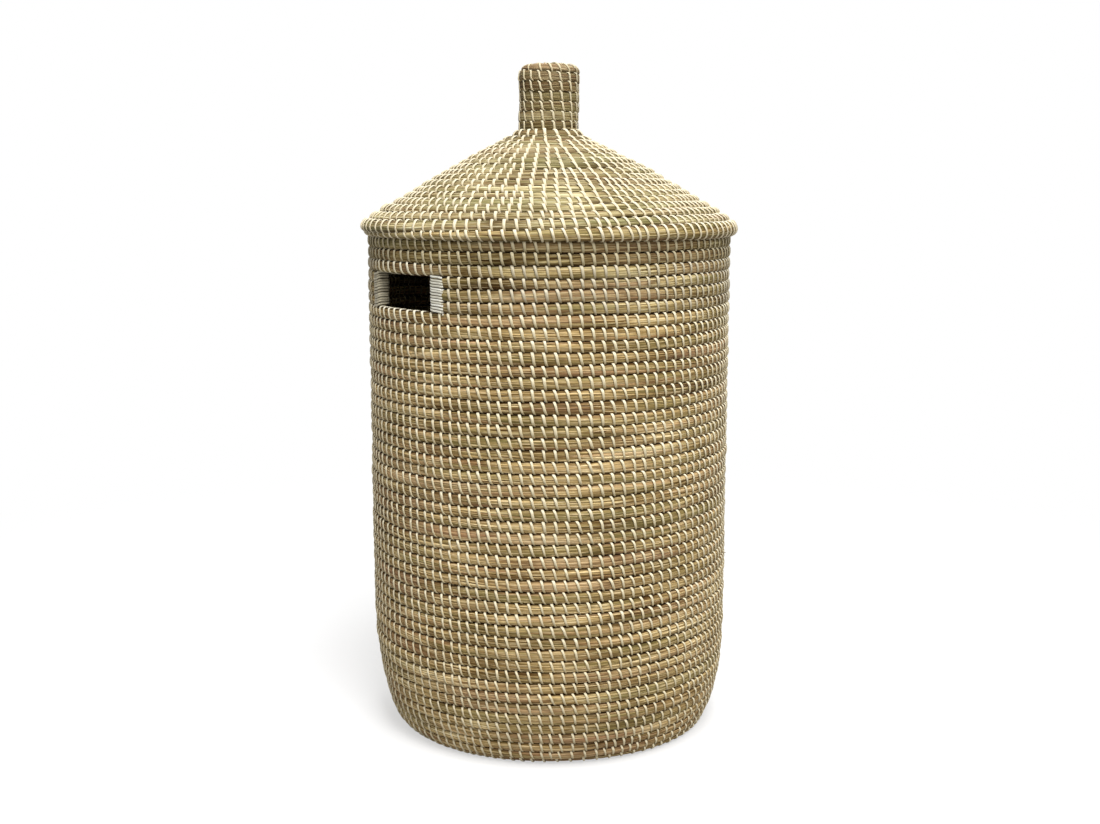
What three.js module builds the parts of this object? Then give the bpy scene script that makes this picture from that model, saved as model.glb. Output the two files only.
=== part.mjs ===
// A tall round basket sewn from a coil of seagrass, with a conical lid, a knob and two bound hand openings.
// Millimetres, +Z up, origin at the middle of the underside. The hand openings face +X and -X.

import * as THREE from 'three';
import { mergeVertices } from 'three/addons/utils/BufferGeometryUtils.js';

// The coil: one row is a bundle of seagrass, sewn to the row before it.
const coilPitch = 10.7;
const coilDepth = 10;
const grooveDepth = 2.2;
const seamGap = 0.3;
const mergeDistance = 0.001;

// The basket.
const bodyRadius = 175;
const baseRadius = 148;
const baseThickness = 10;
const heelHeight = 95;
const heelRows = 10;
const plainRows = 30;
const interruptedRows = 3;
const mouthRows = 2;
const gripDepth = 11;

// The hand openings and the cord bound round their sides.
const openingWidth = 79;
const bindingWidth = 15;
const bindingDepth = 12.4;
const bindingCord = 1.9;
const bindingLoops = 13;
const coreClearance = 0.3;

// The lid.
const lidOverhang = 6;
const rimCoilDiameter = 13;
const rimDrop = 2.6;
const lidRise = 97.6;
const lidRows = 17;
const lidBulge = 2.8;
const lidDepth = 9.6;
const lidGroove = 2;
const locatingClearance = 3;
const locatingDepth = 9;
const locatingDrop = 9;

// The knob.
const knobRadius = 29.3;
const knobFlare = 0.9;
const knobPitch = 9.15;
const knobRows = 6;
const knobDepth = 9;
const knobGroove = 1.8;
const capHeight = 9.15;
const capEdge = 6;
const capDome = 1.6;

// How finely the round shapes are cut.
const bodySides = 32;
const lidSides = 32;
const knobSides = 20;
const rimSides = 10;
const arcSteps = 16;
const cordSides = 5;

const seagrass = new THREE.MeshStandardMaterial({ color: 0xa8946a, roughness: 0.85, metalness: 0 });
const paleSeagrass = new THREE.MeshStandardMaterial({ color: 0xb5a070, roughness: 0.85, metalness: 0 });
const creamCord = new THREE.MeshStandardMaterial({ color: 0xe4dcc4, roughness: 0.7, metalness: 0 });

// Heights that follow from the rows.
const wallTop = heelHeight + plainRows * coilPitch;
const openingTop = wallTop + interruptedRows * coilPitch;
const gripTop = openingTop + coilPitch;
const bodyTop = gripTop + mouthRows * coilPitch;
const neckHeight = bodyTop + lidRise;
const knobTop = neckHeight + knobRows * knobPitch;

const basket = new THREE.Group();
const lid = new THREE.Group();
const part = new THREE.Group();
part.add(basket, lid);

/** Only positions count for a solid, so shared corners are merged into one. */
function solid(geometry) {
  geometry.deleteAttribute('normal');
  geometry.deleteAttribute('uv');
  return mergeVertices(geometry, mergeDistance);
}

/** A body of revolution about Z, from an outline of [radius, height] that runs anticlockwise. */
function turned(outline, sides) {
  const points = outline.map(([radius, height]) => new THREE.Vector2(radius, height));
  const geometry = new THREE.LatheGeometry(points, sides);
  geometry.rotateX(Math.PI / 2);
  return solid(geometry);
}

/** A closed outline: its first point is repeated at its end. */
function closed(outline) {
  return [...outline, outline[0]];
}

function add(group, name, geometry, material) {
  const mesh = new THREE.Mesh(geometry, material);
  mesh.name = name;
  group.add(mesh);
  return mesh;
}

/** The outer side of rows that stand on each other: a crest in the middle of each row, grooves between them. */
function wallRidges(radius, bottom, rows, pitch, groove) {
  const points = [[radius - groove, bottom]];
  for (let row = 0; row < rows; row += 1) {
    points.push([radius, bottom + (row + 0.5) * pitch]);
    points.push([radius - groove, bottom + (row + 1) * pitch]);
  }
  return points;
}

/** A ring of whole rows of the wall, between two heights that leave the seam's gap at its top. */
function rowRing(radius, depth, bottom, rows) {
  const ridges = wallRidges(radius, bottom, rows, coilPitch, grooveDepth);
  ridges[ridges.length - 1][1] -= seamGap;
  const inner = radius - depth;
  const top = bottom + rows * coilPitch - seamGap;
  return closed([...ridges, [inner + grooveDepth, top], [inner, top - coilPitch / 2],
    [inner, bottom + coilPitch / 2], [inner + grooveDepth, bottom]]);
}

// The base: a flat disc of coil, whose underside is the face that the basket rests on.
add(basket, 'base_coil', turned([
  [0, 0],
  [baseRadius - seamGap, 0],
  [baseRadius - seamGap, baseThickness],
  [0, baseThickness],
], bodySides), seagrass);

// The heel: rows that follow a quarter of an ellipse from the base to the wall.
const heelWidth = bodyRadius - baseRadius;

function heelPoint(share, depth) {
  const angle = share * Math.PI / 2;
  const across = heelWidth * Math.sin(angle);
  const up = heelHeight * (1 - Math.cos(angle));
  const slope = new THREE.Vector2(heelHeight * Math.sin(angle), -heelWidth * Math.cos(angle)).normalize();
  return [baseRadius + across - slope.x * depth, up - slope.y * depth];
}

/** The share of the quarter turn at which each even length along the heel ends. */
function heelShares(count) {
  const fine = 40 * count;
  const lengths = [0];
  for (let step = 1; step <= fine; step += 1) {
    const [r0, z0] = heelPoint((step - 1) / fine, 0);
    const [r1, z1] = heelPoint(step / fine, 0);
    lengths.push(lengths[step - 1] + Math.hypot(r1 - r0, z1 - z0));
  }
  return Array.from({ length: count + 1 }, (_, i) => {
    const reached = lengths.findIndex((length) => length >= lengths[fine] * i / count);
    return reached < 0 ? 1 : reached / fine;
  });
}

const heelStops = heelShares(2 * heelRows);
const heelOutside = heelStops.map((share, i) => heelPoint(share, i % 2 === 0 && i > 0 ? grooveDepth : 0));
const heelInside = heelStops.filter((_, i) => i % 3 === 0).map((share) => heelPoint(share, coilDepth)).reverse();
heelOutside[heelOutside.length - 1] = [bodyRadius - grooveDepth, heelHeight - seamGap];
heelInside[0] = [bodyRadius - coilDepth, heelHeight - seamGap];
heelInside[heelInside.length - 1] = [baseRadius, baseThickness];
add(basket, 'heel_coil', turned(closed([...heelOutside, ...heelInside]), bodySides), seagrass);

// The plain wall, up to the sill of the hand openings.
const plainOutside = wallRidges(bodyRadius, heelHeight, plainRows, coilPitch, grooveDepth);
plainOutside[plainOutside.length - 1][1] -= seamGap;
const innerRadius = bodyRadius - coilDepth;
add(basket, 'wall_coil', turned(closed([
  ...plainOutside,
  [innerRadius, wallTop - seamGap],
  [innerRadius, heelHeight + (wallTop - heelHeight) / 2],
  [innerRadius, heelHeight],
]), bodySides), seagrass);

// The grip row over the openings, and the rows that end the mouth.
add(basket, 'grip_coil', turned(rowRing(bodyRadius, gripDepth, openingTop, 1), bodySides), paleSeagrass);
add(basket, 'mouth_coil', turned(rowRing(bodyRadius, coilDepth, gripTop, mouthRows), bodySides), seagrass);

/** A curve through listed points, taken one by one. */
class Route extends THREE.Curve {
  constructor(points) {
    super();
    this.points = points;
  }

  getPoint(share, target = new THREE.Vector3()) {
    const last = this.points.length - 1;
    const at = Math.min(Math.max(share, 0), 1) * last;
    const index = Math.min(Math.floor(at), last - 1);
    return target.copy(this.points[index]).lerp(this.points[index + 1], at - index);
  }

  getPointAt(share, target) {
    return this.getPoint(share, target);
  }

  getTangentAt(share, target = new THREE.Vector3()) {
    const last = this.points.length - 1;
    const index = Math.round(share * last);
    const before = this.points[Math.max(index - 1, 0)];
    const after = this.points[Math.min(index + 1, last)];
    const middle = this.points[index];
    const arriving = middle.clone().sub(before).normalize();
    const leaving = after.clone().sub(middle).normalize();
    return target.copy(arriving).add(leaving).normalize();
  }
}

/** A bar of the given section along a route, with one ring at each of the route's points. */
function bar(section, points) {
  const geometry = new THREE.ExtrudeGeometry(section, {
    steps: points.length - 1,
    extrudePath: new Route(points),
  });
  return solid(geometry);
}

// The interrupted rows. Each one is two bundles, in front and behind, that stop at the bindings.
const rowMiddle = bodyRadius - coilDepth / 2;
const jambTurn = Math.asin((openingWidth / 2 + bindingWidth / 2) / rowMiddle);
const rowStart = jambTurn + (bindingWidth / 2 + seamGap) / rowMiddle;
const halfHeight = (coilPitch - seamGap) / 2;
const halfDepth = coilDepth / 2;
const rowSection = new THREE.Shape([
  new THREE.Vector2(0, -halfDepth),
  new THREE.Vector2(halfHeight, -halfDepth + grooveDepth),
  new THREE.Vector2(halfHeight, halfDepth - grooveDepth),
  new THREE.Vector2(0, halfDepth),
  new THREE.Vector2(-halfHeight, halfDepth - grooveDepth),
  new THREE.Vector2(-halfHeight, -halfDepth + grooveDepth),
]);

function rowArc(from, to, height) {
  const points = [];
  for (let step = 0; step <= arcSteps; step += 1) {
    const angle = from + (to - from) * step / arcSteps;
    points.push(new THREE.Vector3(rowMiddle * Math.cos(angle), rowMiddle * Math.sin(angle), height));
  }
  return points;
}

for (let row = 0; row < interruptedRows; row += 1) {
  const height = wallTop + (row + 0.5) * coilPitch - seamGap / 2;
  const back = rowArc(rowStart, Math.PI - rowStart, height);
  const front = rowArc(Math.PI + rowStart, 2 * Math.PI - rowStart, height);
  add(basket, `handle_row_${row + 1}_back`, bar(rowSection, back), seagrass);
  add(basket, `handle_row_${row + 1}_front`, bar(rowSection, front), seagrass);
}

// The bound row ends: in each jamb a core, with the cord wound round it from sill to grip.
const legAcross = (bindingWidth - bindingCord) / 2;
const legDeep = (bindingDepth - bindingCord) / 2;
const coreAcross = legAcross - bindingCord / 2 - coreClearance;
const coreDeep = legDeep - bindingCord / 2 - coreClearance;
const coreCorner = coreDeep / 3;
const jambBottom = wallTop;
const jambHeight = interruptedRows * coilPitch - seamGap;
const tail = bindingCord;

function jambCore() {
  const outline = new THREE.Shape([
    new THREE.Vector2(coreAcross - coreCorner, -coreDeep),
    new THREE.Vector2(coreAcross, -coreDeep + coreCorner),
    new THREE.Vector2(coreAcross, coreDeep - coreCorner),
    new THREE.Vector2(coreAcross - coreCorner, coreDeep),
    new THREE.Vector2(-coreAcross + coreCorner, coreDeep),
    new THREE.Vector2(-coreAcross, coreDeep - coreCorner),
    new THREE.Vector2(-coreAcross, -coreDeep + coreCorner),
    new THREE.Vector2(-coreAcross + coreCorner, -coreDeep),
  ]);
  return solid(new THREE.ExtrudeGeometry(outline, { depth: jambHeight, bevelEnabled: false }));
}

/** The cord's route: in from the wall, round and round at a steady climb, and back into the wall. */
function bindingRoute() {
  const corner = bindingCord;
  const loop = [
    [-legAcross + corner, legDeep],
    [legAcross - corner, legDeep],
    [legAcross, legDeep - corner],
    [legAcross, -legDeep + corner],
    [legAcross - corner, -legDeep],
    [-legAcross + corner, -legDeep],
    [-legAcross, -legDeep + corner],
    [-legAcross, legDeep - corner],
  ];
  const lowest = bindingCord / 2;
  const highest = jambHeight - bindingCord / 2;
  const lastPoint = bindingLoops * loop.length - 3;
  const wallEnd = -(bindingWidth / 2);
  const points = [new THREE.Vector3(wallEnd, legDeep, lowest)];
  for (let index = 0; index <= lastPoint; index += 1) {
    const [across, deep] = loop[index % loop.length];
    points.push(new THREE.Vector3(across, deep, lowest + (highest - lowest) * index / lastPoint));
  }
  points.push(new THREE.Vector3(wallEnd, -legDeep, highest));
  return points;
}

function circle(radius, sides) {
  const corners = Array.from({ length: sides }, (_, i) => {
    const angle = 2 * Math.PI * i / sides;
    return new THREE.Vector2(radius * Math.cos(angle), radius * Math.sin(angle));
  });
  return new THREE.Shape(corners);
}

/** The least gap between two stretches of a wound cord that aren't neighbours along it. */
function leastGap(points, thickness) {
  const samples = [];
  const samplesPerLeg = 4;
  for (let i = 0; i + 1 < points.length; i += 1) {
    for (let sample = 0; sample < samplesPerLeg; sample += 1) {
      samples.push(points[i].clone().lerp(points[i + 1], sample / samplesPerLeg));
    }
  }
  let along = 0;
  const distances = samples.map((point, i) => {
    along += i > 0 ? point.distanceTo(samples[i - 1]) : 0;
    return along;
  });
  let least = Infinity;
  for (let i = 0; i < samples.length; i += 1) {
    for (let j = i + 1; j < samples.length; j += 1) {
      if (distances[j] - distances[i] > 4 * thickness) {
        least = Math.min(least, samples[i].distanceTo(samples[j]) - thickness);
      }
    }
  }
  return least;
}

const windingRoute = bindingRoute();
console.log(`least gap of a binding to itself: ${leastGap(windingRoute, bindingCord).toFixed(2)} mm`);

const jambs = [
  ['east_back', 0, 1],
  ['east_front', 0, -1],
  ['west_front', Math.PI, 1],
  ['west_back', Math.PI, -1],
];
for (const [place, facing, side] of jambs) {
  const jamb = new THREE.Group();
  const angle = facing + side * jambTurn;
  jamb.position.set(rowMiddle * Math.cos(angle), rowMiddle * Math.sin(angle), jambBottom);
  // The group's +X points along the wall towards the opening, and its +Z stays up.
  jamb.rotation.z = angle - side * Math.PI / 2;
  basket.add(jamb);
  add(jamb, `jamb_core_${place}`, jambCore(), seagrass);
  add(jamb, `jamb_binding_${place}`, bar(circle(bindingCord / 2, cordSides), windingRoute), creamCord);
}

// The lid's section: the rim coil, and the cone's outer line from the neck down to it.
const rimRadius = rimCoilDiameter / 2;
const rimUnderside = rimRadius * Math.cos(Math.PI / rimSides);
const rimCentre = new THREE.Vector2(bodyRadius + lidOverhang - rimRadius, bodyTop + rimUnderside);
const neck = new THREE.Vector2(knobRadius + knobFlare, neckHeight);
const down = rimCentre.clone().sub(neck).normalize();
const outward = new THREE.Vector2(-down.y, down.x);
const footMiddle = rimCentre.clone()
  .addScaledVector(down, -(rimRadius + seamGap))
  .addScaledVector(outward, rimDrop);
const footOuter = footMiddle.clone().addScaledVector(outward, lidDepth / 2);

/** A point of the cone's section: a share of the way down from the neck, and a depth under the crest line. */
function conePoint(share, depth) {
  const chord = footOuter.clone().sub(neck);
  const normal = new THREE.Vector2(-chord.y, chord.x).normalize();
  const lift = lidBulge * 4 * share * (1 - share) - depth;
  return neck.clone().addScaledVector(chord, share).addScaledVector(normal, lift);
}

const rimOutline = Array.from({ length: rimSides }, (_, i) => {
  const angle = (i + 0.5) * 2 * Math.PI / rimSides;
  return [rimCentre.x + rimRadius * Math.cos(angle), rimCentre.y + rimRadius * Math.sin(angle)];
});
add(lid, 'lid_rim_coil', turned(closed(rimOutline), bodySides), paleSeagrass);

const coneOutside = [];
for (let half = 0; half <= 2 * lidRows; half += 1) {
  const point = conePoint(half / (2 * lidRows), half % 2 === 0 && half > 0 ? lidGroove : 0);
  coneOutside.unshift([point.x, point.y]);
}
const knobInner = knobRadius - knobDepth;
const coneInside = [];
const insideSteps = 8;
for (let step = 0; step <= insideSteps; step += 1) {
  const point = conePoint(step / insideSteps, lidDepth);
  if (point.x > knobInner) coneInside.push([point.x, point.y]);
}
const innerNeck = coneInside[0];
add(lid, 'lid_cone_coil', turned(closed([
  ...coneOutside,
  [knobInner, neckHeight],
  [knobInner, innerNeck[1]],
  ...coneInside,
]), lidSides), seagrass);

// The locating ring, sewn under the cone, drops inside the mouth with a clearance all round.
const locatingRadius = innerRadius - locatingClearance;

/** The height of the cone's underside over a radius. */
function underside(radius) {
  let index = 1;
  while (coneInside[index][0] < radius) index += 1;
  const [r0, z0] = coneInside[index - 1];
  const [r1, z1] = coneInside[index];
  return z0 + (z1 - z0) * (radius - r0) / (r1 - r0);
}

const locatingTop = underside(locatingRadius) - seamGap;
const locatingBottom = bodyTop - locatingDrop;
const locatingWaist = (locatingTop + locatingBottom) / 2;
add(lid, 'lid_locating_coil', turned(closed([
  [locatingRadius - grooveDepth, locatingBottom],
  [locatingRadius, (locatingBottom + locatingWaist) / 2],
  [locatingRadius - grooveDepth, locatingWaist],
  [locatingRadius, (locatingWaist + locatingTop) / 2],
  [locatingRadius - grooveDepth / 2, locatingTop],
  [locatingRadius - locatingDepth, locatingTop],
  [locatingRadius - locatingDepth, locatingBottom],
]), lidSides), seagrass);

// The knob: a hollow tube of short rows, a little wider at its foot and top.
const knobOutside = [];
for (let half = 0; half <= 2 * knobRows; half += 1) {
  const share = half / (2 * knobRows);
  const flare = knobFlare * (2 * share - 1) ** 2;
  const groove = half % 2 === 0 ? knobGroove : 0;
  knobOutside.push([knobRadius + flare - groove, neckHeight + seamGap + share * (knobTop - neckHeight - seamGap)]);
}
add(lid, 'knob_coil', turned(closed([
  ...knobOutside,
  [knobInner, knobTop],
  [knobInner, neckHeight + seamGap],
]), knobSides), seagrass);

// The cap: the last rows of the knob, drawn in over a round edge to a low dome.
const capBottom = knobTop + seamGap;
const capRadius = knobRadius + knobFlare;
const capTop = knobTop + capHeight;
const capEdgeMiddle = capTop - capDome - capEdge;
const capEdgePoints = Array.from({ length: 4 }, (_, i) => {
  const angle = i * Math.PI / 6;
  return [capRadius - capEdge + capEdge * Math.cos(angle), capEdgeMiddle + capEdge * Math.sin(angle)];
});
add(lid, 'knob_cap_coil', turned([
  [0, capBottom],
  [capRadius - knobGroove, capBottom],
  ...capEdgePoints,
  [0, capTop],
], knobSides), seagrass);

export default part;
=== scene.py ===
"""A tall basket sewn from coiled seagrass, with a conical lid, a knob and two bound hand openings."""

import math

import bpy
import numpy as np
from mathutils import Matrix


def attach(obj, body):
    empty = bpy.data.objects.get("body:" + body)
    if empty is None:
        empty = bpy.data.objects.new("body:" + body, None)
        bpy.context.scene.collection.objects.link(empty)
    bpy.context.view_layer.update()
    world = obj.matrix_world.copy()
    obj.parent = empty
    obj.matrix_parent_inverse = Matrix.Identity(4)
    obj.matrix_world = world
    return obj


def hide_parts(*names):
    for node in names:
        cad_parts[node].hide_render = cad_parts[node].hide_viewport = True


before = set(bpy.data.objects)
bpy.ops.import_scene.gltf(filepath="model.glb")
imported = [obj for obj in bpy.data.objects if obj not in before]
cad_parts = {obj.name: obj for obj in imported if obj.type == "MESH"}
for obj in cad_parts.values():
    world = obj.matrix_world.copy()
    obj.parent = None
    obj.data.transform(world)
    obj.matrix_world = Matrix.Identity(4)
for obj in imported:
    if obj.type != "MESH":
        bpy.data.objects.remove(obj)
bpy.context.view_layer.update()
mm = 0.001

# The basket's coil. One bundle of dried seagrass blades starts in the middle of the base and is laid row on row:
# flat over the base, up round the heel, then straight up the wall. Each row runs level and climbs to the next one
# at the back. The three rows beside the hand openings are cut bundles, whose ends the jamb cords bind.
body_radius = 175 * mm
base_radius = 148 * mm
heel_height = 95 * mm
row_height = 10.7 * mm
bundle_depth = 10 * mm
grip_depth = 11 * mm
bundle_power = 2.8
stitch_room = 1.1 * mm
floor_room = 0.1 * mm
base_rows, heel_rows, wall_rows = 14, 10, 36
wall_row = base_rows + heel_rows
coil_end = wall_row + wall_rows
opening_row, grip_row, mouth_row = 54, 57, 58
opening_rows = range(opening_row, grip_row)
heel_dents = [(5 * mm, 18, 5, 140, 0.5), (-6 * mm, 13.5, 1.8, -75, 0.55)]

# In degrees from the middle of a hand opening: its cut ends, the last stitch that the binding takes the place of,
# and the last one that is seen whole along the opening's sill or top.
cut_angle, bound_angle, free_angle = 14.3, 19.3, 13.6

# How a row wanders and what a bundle's skin is like: it sways by a share of a row, swells, is ridged by its
# blades, pinched where the cord goes through, and squeezed where a jamb cord binds it.
seam_angle = math.radians(140)
climb_start = 0.722
spiral_lag = 0.36
mark_step = 0.01
row_sway, row_swell, sway_reach = 0.043, 0.26 * mm, 7
ridge_height, ridge_reach = 0.2 * mm, 16
row_overlap = 1.02
tip_depth = 0.3
pinch_depth, pinch_length = 0.45 * mm, 2.2 * mm
squeezed_share, squeezed_length, squeezed_taper = 0.84, 11 * mm, 6 * mm

wall_spacing = 10.1 * mm
fewest_stitches = 5
column_wave = 0.2 * mm
stitch_scatter = 0.3 * mm
evening = 0.12

sample_step = 2.1 * mm
fewest_samples = 12
bundle_girth = 32.6 * mm
section_angles = np.radians([-180, -155, -130, -105, -80, -60, -45, -30, -15,
                             0, 15, 30, 45, 60, 80, 105, 130, 155])
crest = list(section_angles).index(0)
end_radius = 3 * mm
bake_top = 0.97
hair = 1e-6


def drifting(rng, count, reach, width=1):
    """Smooth random numbers of size about 1, that change over `reach` samples."""
    values = rng.standard_normal((count, width))
    tones = np.fft.rfftfreq(count)[:, None]
    soft = np.fft.irfft(np.fft.rfft(values, axis=0) * np.exp(-(tones * reach * 2) ** 2), count, axis=0)
    return soft / soft.std()


def rounded(angle, power):
    """The cosine and sine of an angle, drawn out towards a square as the power grows."""
    cosine, sine = np.cos(angle), np.sin(angle)
    return np.sign(cosine) * np.abs(cosine) ** (2 / power), np.sign(sine) * np.abs(sine) ** (2 / power)


def turn_at(row, degrees):
    """The turn, counted from the seam, at which a row passes an angle."""
    return row + ((degrees - math.degrees(seam_angle)) % 360) / 360


class Coil:
    """A bundle of blades laid along a table of rows, with the turns counted from the seam at the back.

    The table's columns are row, radius, height, lean, row height, depth and squareness. `side` is 1 where the
    rows climb up the object and -1 where they come down it. Between the two turns `settled` the plain spiral
    becomes level rows. A dent has a depth, a row, a number of rows, an angle in degrees and a width in radians.
    `slip` moves the later rows on by a share of a row: its middle and its swing. `pricks` are the turns where
    the cord goes through, once the coil is sewn.
    """

    def __init__(self, body, slot, rows, side, start, end, settled, seed, dents=(), slip=(0, 0)):
        self.body, self.slot = body, slot
        self.rows, self.side, self.settled, self.dents, self.slip = rows, side, settled, dents, slip
        self.lowest, self.highest = rows[1, 0] - 0.5, rows[-2, 0] + 0.5
        self.pricks = None
        rng = np.random.default_rng(seed)
        self.marks = np.arange(math.floor(start) - 1, end + 2.5, mark_step)
        self.sway = drifting(rng, len(self.marks), sway_reach)[:, 0] * row_sway
        self.swell = drifting(rng, len(self.marks), sway_reach)[:, 0] * row_swell
        turns = [np.array([start])]
        for half in range(math.floor(2 * start), 2 * end):
            radius = abs(np.interp(half / 2 + 0.5, rows[:, 0], rows[:, 1]))
            count = max(fewest_samples, math.ceil(math.pi * radius / sample_step))
            steps = half / 2 + np.arange(count) / (2 * count)
            turns.append(steps[steps > start])
        self.turn = np.concatenate([*turns, [end]])
        self.ridges = drifting(rng, len(self.turn), ridge_reach, len(section_angles)) * ridge_height
        steps = np.linalg.norm(np.diff(self.at(self.turn)[0], axis=0), axis=1)
        self.run = np.concatenate([[0], np.cumsum(steps)])

    def edge(self, turn):
        """The row line under a point of the coil: level, with a climb at the back."""
        whole = np.floor(turn)
        climb = np.clip((turn - whole - climb_start) / (1 - climb_start), 0, 1)
        stepped = whole + climb * climb * (3 - 2 * climb)
        low, high = self.settled
        share = np.clip((turn - low) / (high - low), 0, 1)
        line = stepped * share + (turn - spiral_lag) * (1 - share)
        slip = self.slip[0] + self.slip[1] * np.cos(2 * np.pi * turn)
        line = line + slip * np.clip((turn - self.highest / 2) / max(self.highest / 2 - 1, 1), 0, 1)
        return np.clip(line + np.interp(turn, self.marks, self.sway), self.lowest, self.highest)

    def at(self, turn):
        """The bundle's middle, the directions along it, down the outside and outwards, and its half sizes.

        At the coil's two tips the row runs out, and the bundle gets lower and thinner with it.
        """
        lower = self.edge(turn)
        upper = np.where(turn >= self.highest - 1, self.highest, self.edge(turn + 1))
        place = (lower + upper) / 2
        radius, height, lean, tall, deep, power = (
            np.interp(place, self.rows[:, 0], column) for column in self.rows[:, 1:].T)
        thin = tip_depth + (1 - tip_depth) * np.sqrt(np.clip(upper - lower, 0.1, 1))
        outward = deep * (1 - thin) / 2 + np.interp(turn, self.marks, self.swell)
        angle = seam_angle + 2 * np.pi * turn
        for depth, row, reach, degrees, width in self.dents:
            off = (angle - math.radians(degrees) + np.pi) % (2 * np.pi) - np.pi
            radius = radius - depth * np.exp(-(off / width) ** 2 - ((place - row) / reach) ** 2)
        cosine, sine = np.cos(angle), np.sin(angle)
        along = np.stack([-sine, cosine, np.zeros_like(angle)], -1)
        down = -self.side * np.stack([np.cos(lean) * cosine, np.cos(lean) * sine, np.sin(lean)], -1)
        out = self.side * np.stack([np.sin(lean) * cosine, np.sin(lean) * sine, -np.cos(lean)], -1)
        middle = np.stack([radius * cosine, radius * sine, height], -1) + out * outward[..., None]
        return middle, along, down, out, np.maximum(upper - lower, 0.12) * tall / 2, deep * thin / 2, power

    def sections(self, inside):
        """The outline of the bundle at the chosen samples."""
        turn = self.turn[inside]
        middle, _, down, out, tall, deep, power = self.at(turn)
        across, below = rounded(section_angles, power[:, None])
        across, below = across * deep[:, None], below * tall[:, None] * row_overlap
        size = np.hypot(across, below)
        after = np.searchsorted(self.pricks, turn).clip(1, len(self.pricks) - 1)
        nearest = np.minimum(np.abs(turn - self.pricks[after - 1]), np.abs(turn - self.pricks[after]))
        gap = nearest * 2 * np.pi * np.hypot(middle[:, 0], middle[:, 1])
        pinch = pinch_depth * np.exp(-(gap / pinch_length) ** 2)
        stretch = 1 + (self.ridges[inside] - pinch[:, None]) / size
        return middle[:, None] + out[:, None] * (across * stretch)[..., None] + down[:, None] * (
            below * stretch)[..., None]


def add_strands(name, batches, body, finish, replaced=()):
    """A piece made of tubes, on its body.

    A batch has points [strand, station, round], whether its strands are closed, how far along and round their
    spans lie, and the spans' places on the bake map, which keeps the strip over `bake_top` for the cut ends.
    """
    faces, corners, rings, coil_map, bake_map = [], [], [], [], []
    offset = 0
    for points, looped, reach, girth, cells in batches:
        strands, stations, sides = points.shape[:3]
        spans = stations if looped else stations - 1
        index = offset + np.arange(strands * stations * sides).reshape(strands, stations, sides)
        offset += index.size
        here, ahead = index[:, :spans], np.roll(index, -1, axis=1)[:, :spans]
        quads = np.stack([here, np.roll(here, -1, axis=2), np.roll(ahead, -1, axis=2), ahead], -1)
        left, right, low, high = (edge[..., None] for edge in cells)
        share = np.arange(sides) / sides
        places = ((coil_map, reach[:, :spans, None], reach[:, 1:spans + 1, None], girth[:-1], girth[1:]),
                  (bake_map, left, right, low + (high - low) * share, low + (high - low) * (share + 1 / sides)))
        for layer, u0, u1, v0, v1 in places:
            u0, u1, v0, v1 = (np.broadcast_to(value, quads.shape[:3]) for value in (u0, u1, v0, v1))
            layer.append(np.stack([u0, v0, u0, v1, u1, v1, u1, v0], -1).reshape(-1, 2))
        if not looped:
            rings += [ring[::-1] for ring in index[:, 0]] + list(index[:, -1])
        faces.append(quads.reshape(-1))
        corners.append(points.reshape(-1, 3))
    sizes = np.concatenate([np.full(sum(map(len, faces)) // 4, 4), [len(ring) for ring in rings]]).astype(np.int32)
    for number, ring in enumerate(rings):
        turn = np.linspace(0, 2 * np.pi, len(ring), endpoint=False)
        circle = np.stack([np.cos(turn), np.sin(turn)], -1)
        coil_map.append(circle * end_radius)
        bake_map.append((circle * [0.4, 0.006] + [number + 0.5, 0.99]) / [len(rings), 1])
    corners = np.concatenate(corners)
    corners[:, 2] = np.maximum(corners[:, 2], floor_room)
    mesh = bpy.data.meshes.new(name)
    mesh.vertices.add(len(corners))
    mesh.vertices.foreach_set("co", corners.astype(np.float32).reshape(-1))
    mesh.loops.add(sizes.sum())
    mesh.loops.foreach_set("vertex_index", np.concatenate([*faces, *rings]).astype(np.int32))
    mesh.polygons.add(len(sizes))
    mesh.polygons.foreach_set("loop_start", (np.cumsum(sizes) - sizes).astype(np.int32))
    mesh.polygons.foreach_set("use_smooth", np.ones(len(sizes), dtype=bool))
    for label, layer in (("coil", coil_map), ("OFBake", bake_map)):
        values = np.concatenate(layer).astype(np.float32).reshape(-1)
        mesh.uv_layers.new(name=label).uv.foreach_set("vector", values)
    mesh.update(calc_edges=True)
    if rings:
        ring_of = np.zeros(len(corners), dtype=int)
        for number, ring in enumerate(rings):
            ring_of[ring] = number + 1
        ends = np.zeros(len(mesh.edges) * 2, dtype=np.int32)
        mesh.edges.foreach_get("vertices", ends)
        ends = ring_of[ends.reshape(-1, 2)]
        sharp = (ends[:, 0] > 0) & (ends[:, 0] == ends[:, 1])
        mesh.attributes.new("sharp_edge", "BOOLEAN", "EDGE").data.foreach_set("value", sharp)
    mesh.materials.append(finish)
    piece = bpy.data.objects.new(name, mesh)
    bpy.context.scene.collection.objects.link(piece)
    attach(piece, body)
    if replaced:
        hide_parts(*replaced)
    return piece


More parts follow.
